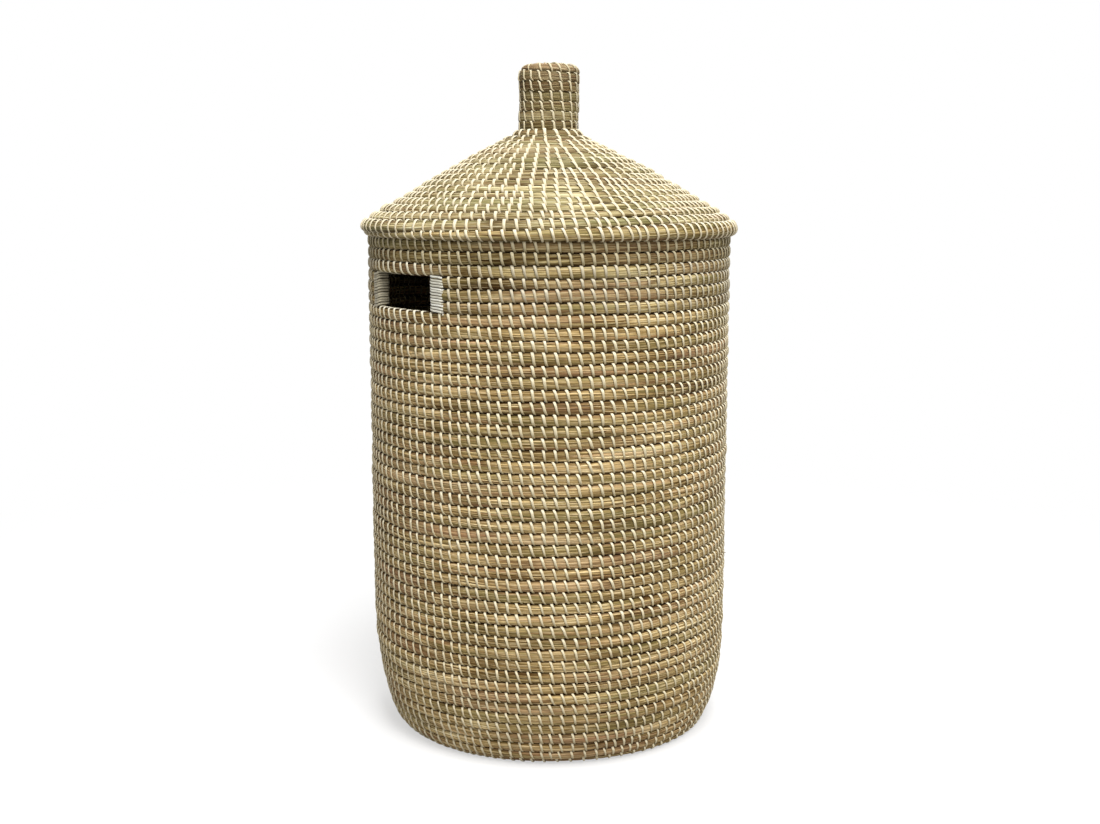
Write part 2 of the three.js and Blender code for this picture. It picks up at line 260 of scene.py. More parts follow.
def add_rows(name, coil, stretches, finish, replaced, squeezed=False):
    """A piece of the coil: one or more stretches of it, from one turn to another.

    Each half turn has its own strip of the bake map. The ends of `squeezed` stretches are bound.
    """
    chosen = [(coil.turn >= low) & (coil.turn <= high) for low, high in stretches]
    halves = [np.floor(coil.turn[inside] * 2 + hair) for inside in chosen]
    strips = sum(int(half[-1] - half[0]) + 1 for half in halves)
    batches = []
    first = 0
    for inside, half in zip(chosen, halves):
        points = coil.sections(inside)
        turn, run = coil.turn[inside], coil.run[inside]
        if squeezed:
            from_end = np.minimum(run - run[0], run[-1] - run)
            middle = points.mean(axis=1, keepdims=True)
            loose = np.clip((from_end - squeezed_length) / squeezed_taper, 0, 1)
            size = squeezed_share + (1 - squeezed_share) * loose
            points = middle + (points - middle) * size[:, None, None]
        half = half[:-1]
        left, right = turn[:-1] * 2 - half, turn[1:] * 2 - half
        strip = first + half - half[0]
        first += int(half[-1] - half[0]) + 1
        across = np.linalg.norm(np.diff(points, axis=1, append=points[:, :1]), axis=2).mean(axis=0)
        girth = np.concatenate([[0], np.cumsum(across)]) * bundle_girth / across.sum()
        cells = (left * 0.994 + 0.003, right * 0.994 + 0.003,
                 (strip + 0.05) / strips * bake_top, (strip + 0.95) / strips * bake_top)
        batches.append((points[None], False, run[None], girth - girth[crest], [cell[None] for cell in cells]))
    return add_strands(name, batches, coil.body, finish, replaced)


def sew(coil, spacings, lean, seed):
    """The turns at which the stitches lie, from the spacing in each row and how far a column leans from row to row.

    Each stitch lies beside one of the row before, and more are put in where the rows grow and the gaps widen.
    """
    rng = np.random.default_rng(seed)
    rows = []
    for row, spacing in enumerate(spacings):
        around = 2 * math.pi * abs(np.interp(row + 0.5, coil.rows[:, 0], coil.rows[:, 1]))
        wished = max(fewest_stitches, round(around / spacing))
        if rows:
            wave = column_wave * np.sin(6 * np.pi * current + 0.3 * row)
            current = current + 1 + (lean + wave + rng.normal(0, stitch_scatter, len(current))) / around
        else:
            current = (np.arange(wished) + 0.5) / wished
        while len(current) < wished:
            gaps = np.diff(current, append=current[0] + 1)
            widest = int(np.argmax(gaps))
            current = np.insert(current, widest + 1, current[widest] + gaps[widest] / 2)
        for _ in range(3):
            before = np.roll(current, 1) - np.eye(1, len(current))[0]
            after = np.roll(current, -1) + np.eye(1, len(current), len(current) - 1)[0]
            current = current + evening * (before + after - 2 * current)
        rows.append(current)
    return np.sort(np.concatenate(rows))


class Wire:
    """A value in a material. Sums and products of wires add Math nodes."""

    def __init__(self, finish, socket):
        self.finish, self.socket = finish, socket

    def math(self, operation, first, second):
        return self.finish.node("ShaderNodeMath", {"operation": operation}, {0: first, 1: second})

    def __add__(self, other):
        return self.math("ADD", self, other)

    def __sub__(self, other):
        return self.math("SUBTRACT", self, other)

    def __mul__(self, other):
        return self.math("MULTIPLY", self, other)

    def __radd__(self, other):
        return self.math("ADD", other, self)

    def __rsub__(self, other):
        return self.math("SUBTRACT", other, self)

    def __rmul__(self, other):
        return self.math("MULTIPLY", other, self)

    def __truediv__(self, other):
        return self.math("DIVIDE", self, other)

    def size(self):
        return self.math("ABSOLUTE", self, 0.0)

    def other(self, output):
        """Another output of the same node, by its number or name."""
        return Wire(self.finish, self.socket.node.outputs[output])

    def over(self, step):
        """What is left after whole steps."""
        return self.math("FLOORED_MODULO", self, step)

    def between(self, low, high):
        """0 below `low` and 1 above `high`, smooth between them."""
        return self.finish.node("ShaderNodeMapRange", {"interpolation_type": "SMOOTHSTEP"},
                                {0: self, 1: low, 2: high})


class Finish:
    """The nodes of a material or of the world."""

    def __init__(self, owner):
        self.owner = owner
        owner.use_nodes = True
        self.nodes, self.links = owner.node_tree.nodes, owner.node_tree.links
        self.nodes.clear()

    def node(self, kind, settings, sockets, output=0):
        """Any node, with its settings, what goes into its sockets, and the output that is wanted."""
        node = self.nodes.new(kind)
        for key, value in settings.items():
            if key == "stops":
                ramp = node.color_ramp.elements
                while len(ramp) < len(value):
                    ramp.new(0.5)
                for stop, (place, color) in zip(ramp, value):
                    stop.position, stop.color = place, color
            else:
                setattr(node, key, value)
        for key, value in sockets.items():
            if isinstance(value, Wire):
                self.links.new(value.socket, node.inputs[key])
            else:
                node.inputs[key].default_value = value
        return Wire(self, node.outputs[output]) if node.outputs else None

    def on_strand(self):
        """How far along and how far round the bundle or cord a point lies, in metres."""
        place = self.node("ShaderNodeUVMap", {"uv_map": "coil"}, {})
        along = self.node("ShaderNodeSeparateXYZ", {}, {0: place})
        return along, along.other(1)

    def on_object(self):
        """Where a point lies on its object, in metres."""
        return self.node("ShaderNodeTexCoord", {}, {}, "Object")

    def grain(self, along, around, detail=1.0):
        """Noise with patches of about 1 over each of the two, already scaled, distances."""
        place = self.node("ShaderNodeCombineXYZ", {}, {0: along, 1: around})
        return self.node("ShaderNodeTexNoise", {"noise_dimensions": "2D"},
                         {"Vector": place, "Scale": 1.0, "Detail": detail})

    def cells(self, along, around):
        """Long cells of about 1 by 1. Gives three random numbers for each, and the distance from its edge."""
        place = self.node("ShaderNodeCombineXYZ", {}, {0: along, 1: around})
        own = self.node("ShaderNodeTexVoronoi", {"voronoi_dimensions": "2D"},
                        {"Vector": place, "Scale": 1.0}, "Color")
        edge = self.node("ShaderNodeTexVoronoi", {"voronoi_dimensions": "2D", "feature": "DISTANCE_TO_EDGE"},
                         {"Vector": place, "Scale": 1.0})
        number = self.node("ShaderNodeSeparateColor", {}, {0: own})
        return number, number.other(1), number.other(2), edge

    def blend(self, mask, first, second, way="MIX"):
        """The second colour over the first, as far as the mask says."""
        return self.node("ShaderNodeMix", {"data_type": "RGBA", "blend_type": way},
                         {0: mask, 6: first, 7: second}, 2)

    def surface(self, color, rough, relief, depth, shine):
        """The material itself, once its colour, roughness and relief are known."""
        normal = self.node("ShaderNodeBump", {}, {"Height": relief, "Distance": depth, "Strength": 1.0})
        shader = self.node("ShaderNodeBsdfPrincipled", {}, {
            "Base Color": color, "Roughness": rough, "Normal": normal, "Specular IOR Level": shine})
        self.node("ShaderNodeOutputMaterial", {}, {"Surface": shader})
        return self.owner


def paint(red, green, blue):
    """A colour as it is seen, 0 to 255, made linear."""
    return (*(((value / 255 + 0.055) / 1.055) ** 2.4 for value in (red, green, blue)), 1.0)


def dried_seagrass(name, shift, tint_and_painted_light, groove_shade=1.0):
    """Flat blades side by side, each straw, olive, pink or brown, with fine lines, and with painted shade darkening
    the grooves between rows.

    `shift` takes another part of the pattern, and the last argument is how dark the painted shade in the grooves is.
    """
    grass = Finish(bpy.data.materials.new(name))
    along, around = grass.on_strand()
    along = along + shift
    across = around + (grass.grain(along * 3.0, 0.5) - 0.5) * (14 * mm)
    tone, warmth, age, edge = grass.cells(along * 13.0, across * 360.0)
    zone = grass.grain(along * 5.0, around * 20.0)
    bunch = grass.node("ShaderNodeTexNoise", {}, {"Vector": grass.on_object(), "Scale": 14.0, "Detail": 1.0})
    streak = grass.grain(along * 16.0, across * 1050.0)
    line = grass.grain(along * 22.0 + 40.0, across * 1500.0)
    fibre = grass.grain(along * 60.0, across * 2800.0)
    shade = (0.5 + (tone - 0.5) * 0.3 + (streak - 0.5) * 1.2 + (fibre - 0.5) * 0.5 + (zone - 0.5) * 0.9
             + (bunch - 0.5) * 0.5)
    color = grass.node("ShaderNodeValToRGB", {"stops": (
        (0.10, paint(68, 45, 14)), (0.30, paint(120, 95, 50)), (0.47, paint(167, 142, 92)),
        (0.62, paint(196, 170, 114)), (0.75, paint(230, 204, 146)), (0.90, paint(255, 238, 186)))}, {0: shade})
    season = grass.grain(along * 4.0 + 200.0, around * 20.0)
    color = grass.blend(season.between(0.5, 0.66) * 0.5, color, paint(176, 140, 106))
    color = grass.blend((1.0 - season.between(0.34, 0.48)) * 0.45, color, paint(142, 135, 82))
    color = grass.blend(warmth.between(0.7, 0.98) * 0.45, color, paint(179, 137, 98))
    color = grass.blend(age.between(0.6, 0.95) * 0.45, color, paint(136, 128, 76))
    color = grass.blend(line.between(0.6, 0.7) * 0.75, color, paint(244, 222, 172))
    color = grass.blend((1.0 - line.between(0.3, 0.4)) * 0.6, color, paint(88, 64, 30))
    color = grass.blend((1.0 - edge.between(0.0, 0.12)) * 0.5, color, paint(84, 60, 28))
    # Painted shade: the grooves between the rows are darkened towards dark brown, standing in for the shade in their
    # crevices.
    from_groove = (around.size() - bundle_girth / 4).size()
    color = grass.blend((1.0 - from_groove.between(1.6 * mm, 5.5 * mm)) * (0.5 * groove_shade), color, paint(84, 60, 28))
    color = grass.blend((1.0 - from_groove.between(2.3 * mm, 4.0 * mm)) * (0.96 * groove_shade), color, paint(54, 31, 3))
    # The tint is the grass's own colour and, in the darker and lighter copies of this material, also painted shade
    # and painted light.
    color = grass.blend(1.0, color, (*tint_and_painted_light, 1.0), "MULTIPLY")
    relief = edge.between(0.0, 0.4) * 0.4 + streak * 0.4 + line * 0.3
    return grass.surface(color, 0.85 - streak * 0.3, relief, 0.7 * mm, 0.12)


# The heel's outside is a quarter of an ellipse from the base to the wall, shared out evenly between its rows.
quarter = np.linspace(0, 1, 400) * math.pi / 2
heel_width = body_radius - base_radius
heel_r = base_radius + heel_width * np.sin(quarter)
heel_z = heel_height * (1 - np.cos(quarter))
heel_lean = np.arctan2(heel_height * np.sin(quarter), heel_width * np.cos(quarter))
heel_run = np.concatenate([[0], np.cumsum(np.hypot(np.diff(heel_r), np.diff(heel_z)))])
basket_table = []
for row in range(-1, base_rows):
    basket_table.append((row + 0.5, (row + 0.5) * base_radius / base_rows, bundle_depth / 2 + stitch_room, 0,
                         base_radius / base_rows, bundle_depth, bundle_power))
for row in range(heel_rows):
    reach = heel_run[-1] * (row + 0.5) / heel_rows
    lean = np.interp(reach, heel_run, heel_lean)
    lift = stitch_room * max(0, 1 - row / 4)
    basket_table.append((base_rows + row + 0.5,
                         np.interp(reach, heel_run, heel_r) - bundle_depth / 2 * math.sin(lean),
                         np.interp(reach, heel_run, heel_z) + bundle_depth / 2 * math.cos(lean) + lift,
                         lean, heel_run[-1] / heel_rows, bundle_depth, bundle_power))
for row in range(wall_rows + 1):
    depth = grip_depth if wall_row + row == grip_row else bundle_depth
    basket_table.append((wall_row + row + 0.5, body_radius - depth / 2, heel_height + (row + 0.5) * row_height,
                         math.pi / 2, row_height, depth, bundle_power))
basket_coil = Coil("basket", "seagrass_coil", np.array(basket_table), side=1, start=0, end=coil_end,
                   settled=(1, 11), seed=7, dents=heel_dents)

basket_stitches = sew(basket_coil, np.full(coil_end, wall_spacing), 0.1 * mm, 11)
angle_there = (math.degrees(seam_angle) + 360 * basket_stitches) % 360
from_opening = np.minimum(np.abs((angle_there + 180) % 360 - 180), np.abs(angle_there - 180))
bound = (basket_stitches >= opening_row) & (basket_stitches < grip_row) & (from_opening < bound_angle)
basket_stitches, from_opening = basket_stitches[~bound], from_opening[~bound]
basket_coil.pricks = basket_stitches

basket_grass = dried_seagrass("basket_seagrass", 0.0, (1.02, 0.985, 0.98))
# Painted shade: the handle rows, and darker still the mouth rows, lie below the lid's rim, and their grass is a
# darker copy of the basket's, painted as the rim's shadow.
shaded_handle_grass = dried_seagrass("shaded_handle_seagrass", 0.0, (0.84, 0.85, 0.84))
shaded_mouth_grass = dried_seagrass("shaded_mouth_seagrass", 0.0, (0.63, 0.64, 0.59))
west_back, west_front, east_front, east_back = 180 - cut_angle, 180 + cut_angle, 360 - cut_angle, cut_angle
add_rows("base_rows", basket_coil, [(0, base_rows)], basket_grass, ["base_coil"])
add_rows("heel_rows", basket_coil, [(base_rows, wall_row)], basket_grass, ["heel_coil"])
add_rows("wall_rows_lower", basket_coil, [(wall_row, wall_row + 10)], basket_grass, ["wall_coil"])
add_rows("wall_rows_middle", basket_coil, [(wall_row + 10, wall_row + 20)], basket_grass, ["wall_coil"])
add_rows("wall_rows_upper", basket_coil, [(wall_row + 20, turn_at(opening_row, west_back))], basket_grass,
         ["wall_coil"])
add_rows("handle_rows_front", basket_coil,
         [(turn_at(row, west_front), turn_at(row, east_front)) for row in opening_rows], shaded_handle_grass,
         [f"handle_row_{row}_front" for row in (1, 2, 3)] + ["jamb_core_west_front", "jamb_core_east_front"], True)
add_rows("handle_rows_back", basket_coil,
         [(turn_at(row, east_back), turn_at(row + 1, west_back)) for row in opening_rows[:-1]]
         + [(turn_at(opening_rows[-1], east_back), grip_row)], shaded_handle_grass,
         [f"handle_row_{row}_back" for row in (1, 2, 3)] + ["jamb_core_west_back", "jamb_core_east_back"], True)
add_rows("grip_row", basket_coil, [(grip_row, mouth_row)], shaded_handle_grass, ["grip_coil"])
add_rows("mouth_rows", basket_coil, [(mouth_row, coil_end)], shaded_mouth_grass, ["mouth_coil"])

# The basket's sewing. A flat cream cord goes over each row and down through the row before it, about every ten
# millimetres. The heads stand proud along the top of the row and the tails dive into the groove below. Each
# stitch sits beside the one of the row before, so they make columns that wander a little.
loop_angles = np.radians([-92, -70, -52, -34, -16, 4, 24, 46, 68, 92, 125, 160, 200, 235])
loop_lift = np.array([0.1, 0.6, 0.95, 0.85, 0.65, 0.5, 0.4, 0.25, 0.05, -0.1, 0.2, 0.35, 0.35, 0.1]) * mm
loop_width = np.array([2.3, 2.7, 2.9, 2.85, 2.7, 2.55, 2.4, 2.2, 2.0, 1.8, 2.2, 2.4, 2.4, 2.3]) * mm
loop_slant = np.array([-1.5, -1.45, -1.25, -0.9, -0.45, 0.05, 0.55, 1.0, 1.35, 1.5, 1.1, 0.3, -0.6, -1.2]) * mm
cord_thickness = 1.3 * mm
cord_angles = np.radians([0, 50, 130, 180, 230, 310])
stitch_length = 34 * mm
stitch_pitch = 50 * mm
stitch_girth = 8 * mm
cell_shape = 0.22


def add_stitches(name, coil, turns, finish, seed, slant=1.0, wide=1.0, proud=1.0):
    """One closed loop of cord round the bundle for each stitch."""
    rng = np.random.default_rng(seed)
    count = len(turns)
    middle, along, down, out, tall, deep, power = (
        value.reshape(count, 1, -1) for value in coil.at(turns))
    across, below = rounded(loop_angles[:, None], power)
    across, below = across * deep, below * tall
    face = out * (across / deep ** 2) + down * (below / tall ** 2)
    face = face / np.linalg.norm(face, axis=2, keepdims=True)
    slack, puff, spread, twist = rng.normal(0, 1, (4, count, 1, 1)).clip(-2, 2)
    lift = loop_lift[:, None] * proud * (1 + 0.15 * slack) + 0.08 * mm * puff
    width = loop_width[:, None] * wide * (1 + 0.07 * spread)
    lean = loop_slant[:, None] * slant * (1 + 0.22 * twist)
    ring = middle + out * across + down * below + face * lift + along * lean
    points = (ring[:, :, None] + along[:, :, None] * (width[..., None] / 2 * np.cos(cord_angles)[:, None])
              + face[:, :, None] * (cord_thickness / 2 * np.sin(cord_angles)[:, None]))
    spans = len(loop_angles)
    columns = max(1, round(math.sqrt(count * cell_shape)))
    lines = math.ceil(count / columns)
    number = np.arange(count)[:, None]
    step = (np.arange(spans) * 0.94 + 0.03) / spans
    left = (number % columns + step) / columns
    low = (number // columns + 0.05) / lines + np.zeros_like(left)
    cells = (left, left + 0.94 / spans / columns, low, low + 0.9 / lines)
    reach = number * stitch_pitch + np.linspace(0, stitch_length, spans + 1)
    girth = np.linspace(0, stitch_girth, len(cord_angles) + 1)
    return add_strands(name, [(points, True, reach, girth, cells)], coil.body, finish)


def flat_cord(name, lit_head, shaded_tail):
    """Cream cord, with a painted highlight where it rounds the top of a row, and painted shade where it is pulled
    down between the rows.
    """
    cord = Finish(bpy.data.materials.new(name))
    along, around = cord.on_strand()
    place = along.over(stitch_pitch) / stitch_length
    own = cord.grain(along * 9.0, 0.5)
    thread = cord.grain(along * 120.0, around * 1800.0, 2.0)
    # Painted highlight on the head over the top of the row, and painted shade on the tail that dives between the
    # rows.
    color = cord.blend(place.between(0.14, 0.5), lit_head, shaded_tail)
    color = cord.blend(own.between(0.4, 0.65) * 0.3, color, paint(222, 208, 170))
    color = cord.blend(thread.between(0.5, 0.8) * 0.3, color, paint(180, 166, 130))
    return cord.surface(color, 0.62, thread, 0.15 * mm, 0.4)


cream = flat_cord("basket_cord", paint(253, 243, 212), paint(184, 168, 128))
heel_cream = flat_cord("heel_cord", paint(250, 238, 204), paint(174, 157, 117))
# Painted shade: the cords of the handle and mouth rows are darker copies, painted as the lid rim's shadow.
shaded_handle_cream = flat_cord("shaded_handle_cord", paint(224, 215, 190), paint(162, 148, 116))
# Painted light: the stitches along the openings' sill and grip row are a brighter copy, as the light on their
# upturned tops.
lit_edge_cream = flat_cord("lit_opening_edge_cord", paint(252, 245, 220), paint(208, 197, 163))
shaded_mouth_cream = flat_cord("shaded_mouth_cord", paint(204, 193, 160), paint(150, 136, 100))
row_of = np.floor(basket_stitches)
free = ((row_of == opening_row - 1) | (row_of == grip_row)) & (from_opening < free_angle)

# The rows of each piece of sewing, its cord, and how slanted, wide and proud its stitches are.
for label, low, high, cord, slant, wide, proud in (
        ("base", 0, 17, heel_cream, 1, 0.8, 0.5),
        ("heel", 17, 26, heel_cream, 1.45, 0.84, 0.9),
        ("lower_wall", 26, 35, cream, 1.5, 0.9, 1),
        ("middle_wall", 35, 44, cream, 1.45, 0.97, 1),
        ("upper_wall", 44, opening_row, cream, 1.25, 1, 1),
        ("handle", opening_row, mouth_row, shaded_handle_cream, 1.1, 1, 1),
        ("mouth", mouth_row, coil_end, shaded_mouth_cream, 1, 1, 1)):
    chosen = basket_stitches[(basket_stitches >= low) & (basket_stitches < high) & ~free]
    add_stitches(f"sewing_{label}", basket_coil, chosen, cord, 100 + low, slant, wide, proud)
add_stitches("sewing_opening_edges", basket_coil, basket_stitches[free], lit_edge_cream, 160, 1.4, 1.05, 1.3)

# The bound jambs. At each side of a hand opening the same cord is wound round the cut ends of the three rows,
# flat and tight, thirteen loops from the sill to the grip row, and its ends are drawn back into the wall.
jamb_from_middle = 47 * mm
jamb_radius = body_radius - bundle_depth / 2
jamb_turn = math.asin(jamb_from_middle / jamb_radius)
jamb_width = 15 * mm
jamb_depth = 12.6 * mm
jamb_power = 4.5
jamb_loops = 13
jamb_overlap = 1.1 * mm
jamb_bottom = heel_height + (opening_row - wall_row) * row_height - jamb_overlap
jamb_height = len(opening_rows) * row_height + 2 * jamb_overlap
jamb_cord_width = 2.5 * mm
jamb_cord_thickness = 1.9 * mm
jamb_cord_power = 2.6
jamb_cord_sides = 8
loop_stations = 32
first_phase = 0.8 * math.pi
loop_tilt = 1.4 * mm
loop_spread, most_spread = 0.08, 0.12
loop_proud = 0.16 * mm
loop_wander = 0.22 * mm


def add_binding(name, facing, side, finish, replaced, seed):
    """The cord wound round one jamb, as one long strand."""
    rng = np.random.default_rng(seed)
    angle = facing + side * jamb_turn
    out = np.array([math.cos(angle), math.sin(angle), 0])
    inward = side * np.array([math.sin(angle), -math.cos(angle), 0])
    up = np.array([0, 0, 1])
    count = jamb_loops * loop_stations
    turn = np.arange(count + 1) / loop_stations
    phase = 2 * np.pi * turn + first_phase
    across, deep = rounded(phase, jamb_power)
    spread = rng.normal(0, loop_spread, jamb_loops + 1).clip(-most_spread, most_spread)
    across = across * np.where(across < 0, 1 + np.repeat(spread, loop_stations)[:count + 1], 1)
    half_width, half_depth = (jamb_width - jamb_cord_thickness) / 2, (jamb_depth - jamb_cord_thickness) / 2
    face = inward * (across / half_width)[:, None] + side * out * (deep / half_depth)[:, None]
    face = face / np.linalg.norm(face, axis=1, keepdims=True)
    proud = drifting(rng, count + 1, 10)[:, 0] * loop_proud
    level = drifting(rng, count + 1, 9)[:, 0] * loop_wander + loop_tilt * np.cos(phase)
    steady = jamb_bottom + jamb_cord_width / 2 + (jamb_height - jamb_cord_width) * turn / jamb_loops
    path = (out * jamb_radius + inward * (across * half_width)[:, None]
            + side * out * (deep * half_depth)[:, None] + face * proud[:, None]
            + up * (steady + level)[:, None])
    round_angles = (np.arange(jamb_cord_sides) + 0.5) * 2 * math.pi / jamb_cord_sides
    wide, thick = rounded(round_angles, jamb_cord_power)
    points = (path[:, None] + up * (wide * jamb_cord_width / 2)[:, None]
              + face[:, None] * (thick * jamb_cord_thickness / 2)[:, None])
    run = np.concatenate([[0], np.cumsum(np.linalg.norm(np.diff(path, axis=0), axis=1))])
    strip = np.floor(turn[:-1] + hair)
    cells = ((turn[:-1] - strip) * 0.99 + 0.005, (turn[1:] - strip) * 0.99 + 0.005,
             (strip + 0.06) / jamb_loops * bake_top, (strip + 0.94) / jamb_loops * bake_top)
    girth = (np.arange(jamb_cord_sides + 1) - 2) * mm
    return add_strands(name, [(points[None], False, run[None], girth, [cell[None] for cell in cells])],
                       "basket", finish, replaced)


def wound_cord(name, bright, dull):
    """The same cord seen flat, with painted shade in the creases between the loops."""
    cord = Finish(bpy.data.materials.new(name))
    along, around = cord.on_strand()
    thread = cord.grain(along * 60.0, around * 1500.0, 2.0)
    patch = cord.grain(along * 30.0, 0.5)
    color = cord.blend(patch.between(0.35, 0.65), bright, dull)
    color = cord.blend(thread.between(0.5, 0.75) * 0.25, color, paint(190, 182, 158))
    # Painted shade: the creases where the loops meet are darkened to grey-brown.
    crease_shade = around.size().between(0.8 * mm, 1.3 * mm)
    color = cord.blend(crease_shade * 0.9, color, paint(80, 72, 54))
    return cord.surface(color, 0.6, thread, 0.12 * mm, 0.4)


# Both jambs' cord is the same; the back jambs' copy is painted darker and greyer, as painted shade.
front_cream = wound_cord("jamb_cord", paint(255, 253, 240), paint(226, 222, 204))
shaded_back_cream = wound_cord("shaded_jamb_cord", paint(208, 199, 172), paint(178, 168, 142))
for number, (place, facing, side, cord) in enumerate((
        ("east_back", 0, 1, shaded_back_cream), ("east_front", 0, -1, front_cream),
        ("west_front", math.pi, 1, front_cream), ("west_back", math.pi, -1, shaded_back_cream))):
    add_binding(f"jamb_cord_{place}", facing, side, cord, [f"jamb_binding_{place}"], 40 + number)

# The lid's coil. It starts as a small spiral on top of the knob, comes down the knob row by row, spreads into
# the cone, and ends in a thicker round rim row that rests on the basket's mouth. Its grass is greyer than the
# basket's. The cone's lower rows are a lighter copy, as painted light, and the knob and the neck row are darker
# copies, as painted shade.
cap_rows, knob_rows, cone_rows = 3, 6, 17
neck_row = cap_rows + knob_rows
rim_row = neck_row + cone_rows
lit_cone_row = 20
cap_row_width = 9.8 * mm
knob_radius = 28.4 * mm
knob_flare = 0.9 * mm
knob_depth = 9 * mm
knob_row_height = 9.15 * mm
knob_power = 6
neck = np.array([30.2, 577.8]) * mm
foot = np.array([172.7, 496.3]) * mm
first_cone_row = 8.9 * mm
cone_bulge = 2.8 * mm
cone_depth = 9.6 * mm
cone_power = 2.7
neck_lift = np.array([-1.2, 1.6]) * mm
neck_lean = -0.85
edge_shift = np.array([1.3, -1.2]) * mm
rim_middle = np.array([174.9, 486.0]) * mm
rim_thickness = 13 * mm
rim_height = 13.2 * mm
rim_lean = -1.25
rim_power = 2.2
rim_tuck = 12 * mm
rim_slip = (0.25, 0.4)
lid_dents = [(-3 * mm, 26, 0.8, 140, 0.7), (-4.5 * mm, 24.6, 1.2, 140, 0.8), (-3.5 * mm, 24.5, 1.2, -40, 0.8),
             (4.5 * mm, 12, 3.5, -40, 0.7)]
knob_spacing = 9.3 * mm
cone_spacing = 9.9 * mm

lid_table = [(row + 0.5, radius * mm, height * mm, lean, cap_row_width, knob_depth, power)
             for row, radius, height, lean, power in (
                 (-1, -4.9, 637.3, 0, 2.6), (0, 4.9, 637.3, 0, 2.6),
                 (1, 14.6, 637.1, 0, 2.6), (2, 23.6, 635.3, -math.pi / 4, 2.2))]
for row in range(knob_rows):
    share = (row + 0.5) / knob_rows
    lid_table.append((cap_rows + row + 0.5, knob_radius + knob_flare * (2 * share - 1) ** 2 - knob_depth / 2,
                      neck[1] + (knob_rows - row - 0.5) * knob_row_height, -math.pi / 2,
                      knob_row_height, knob_depth, knob_power))
chord = foot - neck
chord_length = np.hypot(*chord)
chord_normal = np.array([-chord[1], chord[0]]) / chord_length
last_cone_row = 2 * chord_length / cone_rows - first_cone_row
reached = 0
for row in range(cone_rows):
    height = first_cone_row + (last_cone_row - first_cone_row) * row / (cone_rows - 1)
    share = (reached + height / 2) / chord_length
    reached += height
    bulge = cone_bulge * 4 * share * (1 - share)
    middle = neck + chord * share + chord_normal * (bulge - cone_depth / 2)
    lean = math.atan2(chord[1], chord[0]) + math.atan(cone_bulge * 4 * (1 - 2 * share) / chord_length)
    if row == 0:
        middle, lean = middle + neck_lift, neck_lean
    if row == cone_rows - 1:
        middle = middle + edge_shift
    lid_table.append((neck_row + row + 0.5, *middle, lean, height, cone_depth, cone_power))
for row in range(2):
    lid_table.append((rim_row + row + 0.5, *(rim_middle - [row * rim_tuck, row * rim_height]), rim_lean,
                      rim_height, rim_thickness, rim_power))
lid_coil = Coil("lid", "lid_coil", np.array(lid_table), side=-1, start=0, end=rim_row + 1,
                settled=(1, 8), seed=23, dents=lid_dents, slip=rim_slip)
lid_spacings = np.repeat([knob_spacing, cone_spacing], [neck_row, cone_rows + 1])
lid_stitches = sew(lid_coil, lid_spacings, 0.5 * mm, 31)
lid_coil.pricks = lid_stitches

lid_grass = dried_seagrass("lid_seagrass", 90.0, (0.76, 0.83, 0.92), 0.7)
# Painted light and shade: the lower cone's grass is a lighter copy, and the knob's and neck row's are darker copies.
lit_lower_lid_grass = dried_seagrass("lit_lower_lid_seagrass", 90.0, (0.86, 0.95, 1.06), 0.6)
shaded_knob_grass = dried_seagrass("shaded_knob_seagrass", 60.0, (0.50, 0.52, 0.51), 0.0)
shaded_neck_grass = dried_seagrass("shaded_neck_seagrass", 60.0, (0.55, 0.56, 0.56), 0.5)
rim_grass = dried_seagrass("rim_seagrass", 30.0, (0.89, 0.90, 0.90), 0.4)
for name, low, high, grass, solid in (
        ("knob_cap_rows", 0, cap_rows, lid_grass, "knob_cap_coil"),
        ("knob_rows", cap_rows, neck_row, shaded_knob_grass, "knob_coil"),
        ("neck_row", neck_row, neck_row + 1, shaded_neck_grass, "lid_cone_coil"),
        ("cone_rows_upper", neck_row + 1, lit_cone_row, lid_grass, "lid_cone_coil"),
        ("cone_rows_lower", lit_cone_row, rim_row, lit_lower_lid_grass, "lid_cone_coil"),
        ("rim_row", rim_row, rim_row + 1, rim_grass, "lid_rim_coil")):
    add_rows(name, lid_coil, [(low, high)], grass, [solid])

# The locating ring. Two short rows sewn under the cone, which drop inside the mouth and keep the lid in place.
# They are of the same grass as the cone, and show only when the lid is lifted.
ring_rows = 2
ring_radius = 157.5 * mm
ring_top = 490.4 * mm
ring_row_height = 9.5 * mm
ring_depth = 9 * mm
ring_power = 2.6
ring_start = climb_start - 1
ring_table = [(row + 0.5, ring_radius, ring_top - (row + 0.5) * ring_row_height, -math.pi / 2, ring_row_height,
               ring_depth, ring_power) for row in range(-1, ring_rows + 1)]
ring_coil = Coil("lid", "lid_coil", np.array(ring_table), side=-1, start=ring_start, end=ring_rows,
                 settled=(-9, -8), seed=29)
ring_coil.pricks = sew(ring_coil, np.full(ring_rows, wall_spacing), 0.3 * mm, 37)
add_rows("locating_rows", ring_coil, [(ring_start, ring_rows)], lid_grass, ["lid_locating_coil"])

# The lid's sewing. Its cord's tails carry less painted shade than the basket's, so that it is nearly as bright in
# the grooves as on the rows. It leans further on the rim, and on the knob it is a darker copy, as painted shade.
lid_cream = flat_cord("lid_cord", paint(242, 232, 204), paint(216, 203, 171))
